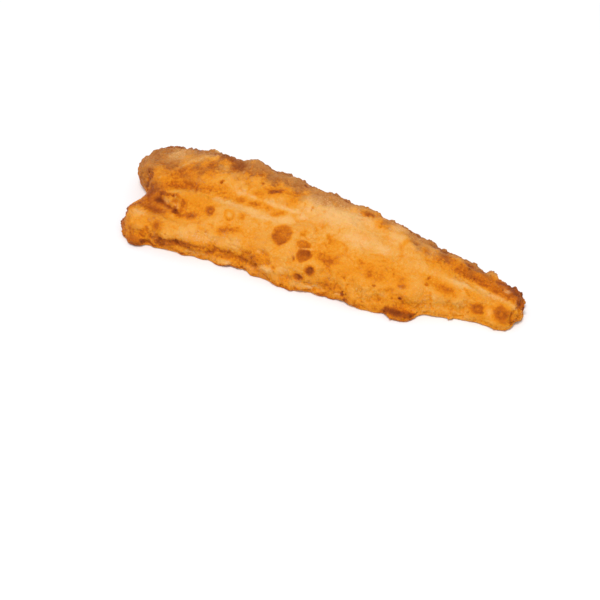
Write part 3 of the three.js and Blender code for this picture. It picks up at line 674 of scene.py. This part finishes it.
def batter(colours):
    """Fried batter, coloured by how far each place is fried, with painted shade in its hollows, floured
    places and painted highlights on top, and painted shade and sheen on the loin's far side.
    """
    s = Shader("fried_batter")
    at = s.node("TexCoord").outputs["Object"]
    fried, flour_and_highlight, tan_shade_and_sheen, even = (s.stored(name) for name in ("fried", "flour_and_highlight", "tan_shade_and_sheen", "even"))
    patches = s.grain(at, 13 * MM, 3, 0.5)
    mottle = s.grain(at, 4 * MM, 3, 0.5, 0.2)
    aside = s.node("Mapping", {"Vector": at, "Location": (0.3, 0.1, 0.2)}).outputs[0]
    blotches = s.ramp(s.grain(aside, 5.2 * MM, 3, 0.55, 0.3), 0.53, 0.68)
    speck = s.grain(at, 1.5 * MM, 4, 0.75)
    grit = s.grain(at, 0.75 * MM, 3, 0.7)

    def add(value, noise_value, reach):
        """value, moved up and down by a noise, by up to half of reach."""
        moved = s.node("Math", {0: noise_value, 1: reach, 2: value}, operation="MULTIPLY_ADD").outputs[0]
        return s.math("SUBTRACT", moved, 0.5 * reach)

    uneven = s.ramp(even, 0.05, 0.6, 1.0, 0.45)

    def stirred_by(value, *noises):
        """value with these noises on top, weaker where it is painted evenly."""
        total = 0.0
        for noise_value, reach in noises:
            total = add(total, noise_value, reach)
        return s.node("Math", {0: total, 1: uneven, 2: value}, operation="MULTIPLY_ADD").outputs[0]

    level = stirred_by(fried, (patches, 0.25), (mottle, 0.24), (speck, 0.28), (grit, 0.52), (blotches, 0.1))
    crisp = s.shades(level, ((0.08, colours.blond), (0.3, colours.gold), (0.46, colours.honey),
                             (0.62, colours.amber), (0.8, colours.brown), (1.0, colours.dark)))
    # The loin's far side: painted shade with a painted grazing reflection, and the head end's own tan.
    tan_shade_and_sheen_colour = s.shades(level, ((0.12, colours.cream), (0.4, colours.tan), (0.64, colours.umber),
                            (0.95, colours.dark)))
    tan_shade_and_sheen_share = s.ramp(stirred_by(tan_shade_and_sheen, (patches, 1.0), (mottle, 1.1), (speck, 1.0)), 0.05, 1.05, 0.0, 0.88)
    # Floured batter and painted highlights, in one pale colour.
    flour_and_highlight_level = stirred_by(flour_and_highlight, (patches, 0.5), (mottle, 1.1), (speck, 1.3), (grit, 2.1))
    flour_and_highlight_share = s.ramp(flour_and_highlight_level, 0.1, 1.0, 0.0, 0.8)
    colour = s.mix(flour_and_highlight_share, s.mix(tan_shade_and_sheen_share, crisp, tan_shade_and_sheen_colour), rgba(colours.flour_and_highlight_colour))
    rough = s.ramp(mottle, 0.3, 0.7, 0.36, 0.52)
    height = s.math("ADD", s.math("MULTIPLY", grit, 0.4), speck)
    bump = s.node("Bump", {"Strength": 1.0, "Distance": 0.75 * MM, "Height": height}).outputs[0]
    shader = s.node("BsdfPrincipled", {
        "Base Color": colour, "Roughness": rough, "Normal": bump, "Subsurface Weight": 0.2,
        "Subsurface Radius": (1.0, 0.42, 0.12), "Subsurface Scale": 1.1 * MM, "IOR": 1.45,
        "Specular IOR Level": 0.1,
    })
    s.node("OutputMaterial", {"Surface": shader.outputs[0]})
    return s.material


def floor_white():
    s = Shader("studio_white")
    shader = s.node("BsdfPrincipled", {"Base Color": (0.84, 0.846, 0.86, 1), "Roughness": 0.9,
                                       "Specular IOR Level": 0.1})
    s.node("OutputMaterial", {"Surface": shader.outputs[0]})
    return s.material


def melted_copy(settings):
    """A copy of the solid with its facets melted into one smooth skin."""
    piece = bpy.data.objects.new("fillet_crust", frame["nodes"][SOLID].data.copy())
    bpy.context.scene.collection.objects.link(piece)
    piece.data.materials.clear()
    take(piece)
    bpy.ops.object.mode_set(mode="EDIT")
    bpy.ops.mesh.select_all(action="SELECT")
    bpy.ops.mesh.remove_doubles(threshold=0.01 * MM)
    bpy.ops.object.mode_set(mode="OBJECT")
    finish_with(piece, "REMESH", mode="VOXEL", voxel_size=settings.facet_grid)
    finish_with(piece, "SMOOTH", factor=0.6, iterations=7)
    return piece


def thin_underside(piece):
    """Leaves fewer faces where the fillet lies on its flat side."""
    take(piece)
    for face in piece.data.polygons:
        face.select = face.normal.z < -0.8 and face.center.z < 4 * MM
    bpy.ops.object.mode_set(mode="EDIT")
    bpy.ops.mesh.select_mode(type="FACE")
    bpy.ops.mesh.decimate(ratio=UNDERSIDE_KEPT)
    bpy.ops.object.mode_set(mode="OBJECT")


def shape_folds(piece):
    """Evens out the trenches, then raises and sinks the named strokes and spots."""
    skin = Skin(piece.data)
    share = np.zeros(skin.count)
    for path, reach, most in MELTS.values():
        share = np.maximum(share, most * (1 - ease(off_line(skin.at, path) / reach, 0.4, 1.3)))
    skin.at += (skin.blurred(skin.at, MELT_STEPS) - skin.at) * share[:, None]
    skin.write()
    loose = stirred(skin.at, 6.0, 0.6, 1)
    height = np.zeros(skin.count)
    for path, width, rise in STROKES.values():
        height += rise * np.exp(-(off_line(loose, path) / width) ** 2)
    for middle, long, wide, turn, rise in SPOTS.values():
        height += rise * (1 - ease(off_dab(loose, middle, long, wide, turn), 0.2, 1.25))
    skin.push(height, 4)
    drop = np.clip(FOOT - skin.at[:, 2], 0, None)
    skin.at[:, 2] -= 0.7 * drop
    skin.write()


class Lie:
    """Which way each point faces, and how near it is to an edge, the head or the tail.

    Its points are the skin's, and move with them when the relief pushes the skin out.
    """

    def __init__(self, skin):
        self.points = skin.at
        self.facing = skin.blurred(skin.normal, 60)
        length = np.linalg.norm(self.facing, axis=1) + 1e-9
        self.facing_x, self.facing_y, self.up = (self.facing[:, k] / length for k in range(3))
        self.edge = (1 - ease(self.up, 0.25, 0.82)) * ease(self.up, -0.75, -0.2)
        self.under = ease(-self.up, 0.1, 0.6)
        self.shoulder = ease(self.up, 0.2, 0.6)
        self.loin_slope = ease(self.facing_y, 0.12, 0.6) * ease(self.up, -0.2, 0.2)
        self.head = 1 - ease(self.points[:, 0], *HEAD_FADES)
        self.tail = ease(self.points[:, 0], *TAIL_GROWS)
        self.loose = stirred(stirred(self.points, 7.0, 0.9, 1), 2.4, 0.5, 2)
        self.fine = wave(self.points, 1.7, 7, 2)

    def off_blister(self, name):
        """Distance from a blister's middle, 1 on its rim."""
        middle, long, wide, turn, *_ = BLISTERS[name]
        return off_dab((self.points + self.loose) / 2, middle, long, wide, turn)


def shape_blisters(skin, lie, settings):
    """Shapes the swells, blisters, grain and crags, then the hem. Gives how much each point is hem."""
    points, up, edge = lie.points, lie.up, lie.edge
    bent = stirred(points, 9.0, 3.5, 12)
    swell = pillows(bent * (1, 1.25, 1), settings.swell_size, 1)
    small = pillows(bent, settings.blister_size, 2)
    pebble = pillows(points, settings.blister_size * 0.46, 4)
    crag = pillows(points, 4.2, 6) + 0.35 * pillows(points, 2.1, 19) - 0.2
    knob = pillows(bent, 8.0, 21)
    roll = wave(points, 24, 5)
    calm = ease(wave(points, 34, 3), -0.35, 0.35)
    rough = ease(wave(points, 16, 8), -0.4, 0.8)
    cragged = 0.4 + 0.9 * ease(wave(points, 7, 13), -0.5, 0.6)
    knobby = 0.4 + 0.6 * np.maximum(lie.head, lie.tail)
    outer = ease(lie.facing_y + 0.6 * lie.facing_x, -0.5, 0.1)
    ragged_edge = edge * (0.35 + 0.65 * outer) + lie.loin_slope * (0.2 + 0.55 * lie.shoulder)
    ragged_edge = np.clip(ragged_edge, 0, 1)
    height = settings.swell_height * (swell - 0.6) * (0.35 + 0.65 * calm) * (1 - 0.6 * edge)
    height += settings.blister_height * (small - 0.6) * (0.45 + 0.5 * rough + 0.2 * edge)
    height += 0.75 * settings.blister_height * (pebble - 0.6) * (0.55 + 0.6 * rough + 0.2 * edge)
    height += settings.grain_height * lie.fine * (1 + 2.2 * ragged_edge)
    height += settings.rim_height * (crag - 0.5) * ragged_edge * cragged
    height += settings.knob_height * (knob - 0.5) * ragged_edge * knobby
    for name, (*_, rim, deep) in BLISTERS.items():
        far = lie.off_blister(name) + 0.1 * lie.fine
        height *= 0.35 + 0.65 * ease(far, 0.8, 1.2)
        height += rim * np.exp(-((far - 1) / 0.28) ** 2) - deep * (1 - ease(far, 0.5, 1.0))
        height += 0.6 * rim * np.exp(-(far / 0.25) ** 2)
    height = (height + 0.5 * roll) * (1 - 0.75 * lie.under)
    skin.push(height)

    hem = (1 - ease(skin.at[:, 2], 1.5, 5)) * ease(up, -0.7, -0.1)
    drawn_down = points * (1, 1, 0.3)
    teeth = pillows(drawn_down, 4.2, 16) + 0.4 * pillows(drawn_down, 1.9, 20) - 0.4
    teeth = settings.hem_teeth * teeth * ease(wave(points, 15, 17), -0.7, 0.3)
    away = lie.facing[:, :2] / (np.linalg.norm(lie.facing[:, :2], axis=1)[:, None] + 1e-9)
    skin.at[:, :2] += away * (hem * teeth)[:, None]
    skin.write()
    return hem


def colour_batter(skin, lie, hem):
    """Stores how far each point is fried, with painted shade in hollows, creases and along low, far and
    downturned faces; how much floured batter and painted highlight it has; how much painted shade and sheen
    of the loin's far side, with the head's own tan; and how evenly it is coloured.
    """
    points, up, head, loin_slope = lie.points, lie.up, lie.head, lie.loin_slope
    # sunk is high in hollows and low on crests; it darkens the hollows as painted shade and pales the crests.
    hollow = ((skin.blurred(skin.at, 10) - skin.at) * skin.normal).sum(1)
    broad = ((skin.blurred(skin.at, 90) - skin.at) * skin.normal).sum(1)
    sunk = np.clip(np.clip(hollow / 0.15, -1, 1) * 0.5 + np.clip(broad / 0.6, -1, 1) * 0.5, -0.35, 1)
    ragged = 0.35 * lie.fine + 0.8 * wave(points, 5.5, 9)

    # Toasted batter, with painted shade in the creases and, through the rim below, along the low and far
    # edges.
    toast_and_shade = painted(lie.loose, TOAST_AND_CREASE_SHADE, ragged) * (1 - 0.2 * head)
    for name, (fill, ring, core) in DISCS.items():
        far = lie.off_blister(name) + 0.16 * ragged
        disc = fill * (1 - ease(far, 0.85, 1.2))
        disc += ring * np.exp(-((far - 0.8) / 0.28) ** 2) + core * np.exp(-((far - 0.35) / 0.16) ** 2)
        toast_and_shade = np.maximum(toast_and_shade, disc)
    belly = ease(-points[:, 1], 12, 24)
    low = 1 - ease(points[:, 2], 3.5, 12)
    # brow, the upper part of the far slope, is darkened below: painted shade over its browned rim.
    brow = loin_slope * ease(up, 0.25, 0.6)
    spared = np.maximum(0.8 * ease(points[:, 0], 45, 75), 0.6 * head * ease(points[:, 1], -10, 2))
    # The rim browns the edges; its 0.26 * low term darkens the lowest edges more as painted shade, and 0.12 *
    # brow adds painted shade on the far brow.
    rim = lie.edge * (0.02 + 0.26 * low * (1 - spared) + 0.06 * head + 0.1 * lie.tail) + 0.12 * brow
    rim *= 0.8 + 0.9 * wave(points, 9, 11)
    toast_and_shade = np.maximum(toast_and_shade, rim)
    toast_and_shade = np.maximum(toast_and_shade, hem * (0.46 + 0.5 * wave(points, 6, 18)) * (1 - 0.8 * spared))

    amber = painted(lie.loose, AMBER, ragged, 0.8)
    pale = painted(lie.loose, PALE, ragged, 0.6) * (1 - 0.8 * np.clip(toast_and_shade, 0, 1))
    # The loin's far side, behind the loin line and on its upper faces, is painted darker and greyer: painted
    # shade with a painted grazing reflection. The head end gets the batter's own tan.
    behind = points[:, 1] - np.interp(points[:, 0], *zip(*LOIN_LINE))
    tan_shade_and_sheen = behind / (11 + 16 * head) + 0.8 * (1 - 0.4 * head) * wave(points, 11, 15, 3)
    tan_shade_and_sheen = ease(tan_shade_and_sheen, -0.6, 1.0) * ease(up, -0.5, 0.1) * (0.6 + 0.4 * lie.shoulder)
    # Of these, 0.12 * sunk is painted shade in the hollows.
    fried = 0.315 + 0.08 * tan_shade_and_sheen + 0.38 * amber + 0.68 * toast_and_shade + 0.12 * sunk - 0.19 * pale
    # 0.1 * lie.under darkens faces turned down to the floor: painted shade. 0.1 * brow darkens the far brow:
    # painted shade.
    fried += 0.145 * head + 0.03 * lie.tail + 0.05 * belly * (1 - low) + 0.1 * lie.under + 0.1 * brow
    # Floured batter and painted highlights from the pale marks, paler crests, less over amber.
    flour_and_highlight = 1.1 * pale + 0.2 * np.clip(-sunk, 0, 1) * (1 - belly) - 0.6 * amber + 0.1 * head
    skin.keep("toast_and_shade", toast_and_shade)
    skin.keep("even", np.maximum(toast_and_shade, amber) + 0.38 * head + 0.3 * lie.tail)
    skin.keep("fried", fried)
    skin.keep("flour_and_highlight", flour_and_highlight)
    skin.keep("tan_shade_and_sheen", tan_shade_and_sheen * (1 - 0.5 * head) + 0.42 * head)
    skin.keep("edge", lie.edge)


class FILLET_OT_crust(bpy.types.Operator):
    """Shapes the fried crust over the whole fillet"""

    bl_idname = "fillet.crust"
    bl_label = "Crust"

    def execute(self, context):
        settings = context.scene.fillet_crust
        noise.seed_set(NOISE_SEED)
        piece = melted_copy(settings)
        shape_folds(piece)
        finish_with(piece, "REMESH", mode="VOXEL", voxel_size=settings.skin_grid)
        finish_with(piece, "SMOOTH", factor=0.5, iterations=2)
        thin_underside(piece)
        skin = Skin(piece.data)
        lie = Lie(skin)
        hem = shape_blisters(skin, lie, settings)
        colour_batter(skin, lie, hem)
        piece.data.materials.append(batter(context.scene.fillet_colours))
        take(piece)
        bpy.ops.object.shade_smooth()
        faces = sum(len(p.vertices) - 2 for p in piece.data.polygons)
        if faces >= MOST_TRIANGLES:
            raise RuntimeError(f"the crust has {faces} triangles; widen the skin grid")
        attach(piece, "root")
        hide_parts(SOLID)
        return {"FINISHED"}


class FILLET_OT_crumbs(bpy.types.Operator):
    """Sets small crumbs of batter along the toasted edges"""

    bl_idname = "fillet.crumbs"
    bl_label = "Crumbs"

    def execute(self, context):
        settings = context.scene.fillet_crumbs
        crust = bpy.data.objects["fillet_crust"]
        skin = Skin(crust.data)
        toast_and_shade, edge = (np.empty(skin.count, np.float32) for _ in range(2))
        crust.data.attributes["toast_and_shade"].data.foreach_get("value", toast_and_shade)
        crust.data.attributes["edge"].data.foreach_get("value", edge)
        draw = Random(CRUMB_SEED)
        band = np.exp(-(off_line(skin.at, CRUMBY_EDGE) / 5.0) ** 2)
        chance = np.clip(edge * (0.25 + toast_and_shade) + 0.9 * band, 0, None) * (skin.at[:, 2] > 1.2)
        chance = np.cumsum(chance / chance.sum())
        deselect()
        bpy.ops.mesh.primitive_uv_sphere_add(segments=7, ring_count=5, radius=1.0)
        model = bpy.context.object
        made = []
        for _ in range(settings.count):
            i = int(np.searchsorted(chance, draw.random()))
            size = draw.uniform(settings.smallest, settings.largest) * draw.uniform(0.6, 1.0)
            mesh = model.data.copy()
            seed = Vector((draw.uniform(0, 99), draw.uniform(0, 99), draw.uniform(0, 99)))
            for v in mesh.vertices:
                v.co *= 1 + 0.35 * noise.noise(v.co * 1.3 + seed)
            out = Vector(skin.normal[i])
            turn = out.to_track_quat("Z", "Y").to_matrix().to_4x4()
            turn @= Matrix.Rotation(draw.uniform(0, 6.28), 4, "Z")
            long, thin = size * draw.uniform(0.8, 1.3), size * draw.uniform(0.55, 0.85)
            flat = Matrix.Diagonal((long, size, thin, 1))
            place = Matrix.Translation(Vector(skin.at[i]) * MM + out * size * 0.12)
            mesh.transform(place @ turn @ flat)
            for name in ("even", "fried", "flour_and_highlight", "tan_shade_and_sheen"):
                layer = mesh.attributes.new(name, "FLOAT", "POINT")
                value = crust.data.attributes[name].data[i].value
                if name == "fried":
                    value = min(1.0, value + draw.uniform(-0.1, 0.14))
                layer.data.foreach_set("value", [max(value, 0.0)] * len(mesh.vertices))
            crumb = bpy.data.objects.new("crumb", mesh)
            context.scene.collection.objects.link(crumb)
            made.append(crumb)
        bpy.data.objects.remove(model)
        deselect()
        for crumb in made:
            crumb.select_set(True)
        context.view_layer.objects.active = made[0]
        bpy.ops.object.join()
        crumbs = context.object
        crumbs.name = "batter_crumbs"
        crumbs.data.materials.clear()
        crumbs.data.materials.append(crust.data.materials[0])
        bpy.ops.object.shade_smooth()
        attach(crumbs, "root")
        return {"FINISHED"}


class FILLET_OT_studio(bpy.types.Operator):
    """Lays the white floor and sets the soft light and the camera"""

    bl_idname = "fillet.studio"
    bl_label = "Studio"

    def execute(self, context):
        settings = context.scene.fillet_studio
        scene = context.scene
        deselect()
        bpy.ops.mesh.primitive_plane_add(size=settings.floor, location=(0, 0, 0))
        floor = bpy.context.object
        floor.name = "studio_floor"
        floor.data.materials.append(floor_white())
        world = bpy.data.worlds.new("studio_sky")
        world.use_nodes = True
        world.node_tree.nodes["Background"].inputs[0].default_value = (1, 1, 1, 1)
        world.node_tree.nodes["Background"].inputs[1].default_value = settings.sky
        scene.world = world
        lamp = bpy.data.lights.new("key_light", "AREA")
        lamp.shape = "DISK"
        lamp.size = SOFTBOX_WIDTH
        lamp.energy = settings.key
        softbox = bpy.data.objects.new("key_light", lamp)
        scene.collection.objects.link(softbox)
        softbox.location = SOFTBOX_AT
        softbox.rotation_euler = softbox.location.to_track_quat("Z", "Y").to_euler()
        a, e = radians(settings.azimuth), radians(settings.elevation)
        back = Vector((sin(a) * cos(e), -cos(a) * cos(e), sin(e)))
        right = Vector((cos(a), sin(a), 0))
        up = back.cross(right)
        target = Vector(AIM) * MM
        eye = bpy.data.objects.new("camera", bpy.data.cameras.new("camera"))
        scene.collection.objects.link(eye)
        eye.matrix_world = Matrix.Translation(target + back * settings.distance) @ Matrix(
            (right, up, back)).transposed().to_4x4()
        eye.data.lens = settings.lens
        eye.data.sensor_width = 36
        eye.data.clip_end = 30
        scene.camera = eye
        scene.view_settings.view_transform = "Standard"
        scene.view_settings.look = "None"
        return {"FINISHED"}


class FILLET_PT_sidebar(bpy.types.Panel):
    """Lists the steps that build the fillet"""

    bl_label = "Fried Fillet"
    bl_idname = "FILLET_PT_sidebar"
    bl_space_type = "VIEW_3D"
    bl_region_type = "UI"
    bl_category = "Fillet"

    def draw(self, context):
        for operator in OPERATORS:
            self.layout.operator(operator.bl_idname)
        for group in (getattr(context.scene, name) for name in GROUPS):
            for name in group.bl_rna.properties.keys():
                if name not in ("rna_type", "name"):
                    self.layout.prop(group, name)


GROUPS = {"fillet_crust": CrustSettings, "fillet_colours": ColourSettings, "fillet_crumbs": CrumbSettings,
          "fillet_studio": StudioSettings}
OPERATORS = (FILLET_OT_crust, FILLET_OT_crumbs, FILLET_OT_studio)
CLASSES = (*GROUPS.values(), *OPERATORS, FILLET_PT_sidebar)


def register():
    for cls in CLASSES:
        bpy.utils.register_class(cls)
    for name, group in GROUPS.items():
        setattr(bpy.types.Scene, name, PointerProperty(type=group))


def unregister():
    for name in GROUPS:
        delattr(bpy.types.Scene, name)
    for cls in reversed(CLASSES):
        bpy.utils.unregister_class(cls)


def main():
    """Builds every piece in turn."""
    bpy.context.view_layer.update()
    register()
    bpy.ops.fillet.crust()
    bpy.ops.fillet.crumbs()
    bpy.ops.fillet.studio()


if __name__ == "__main__":
    main()
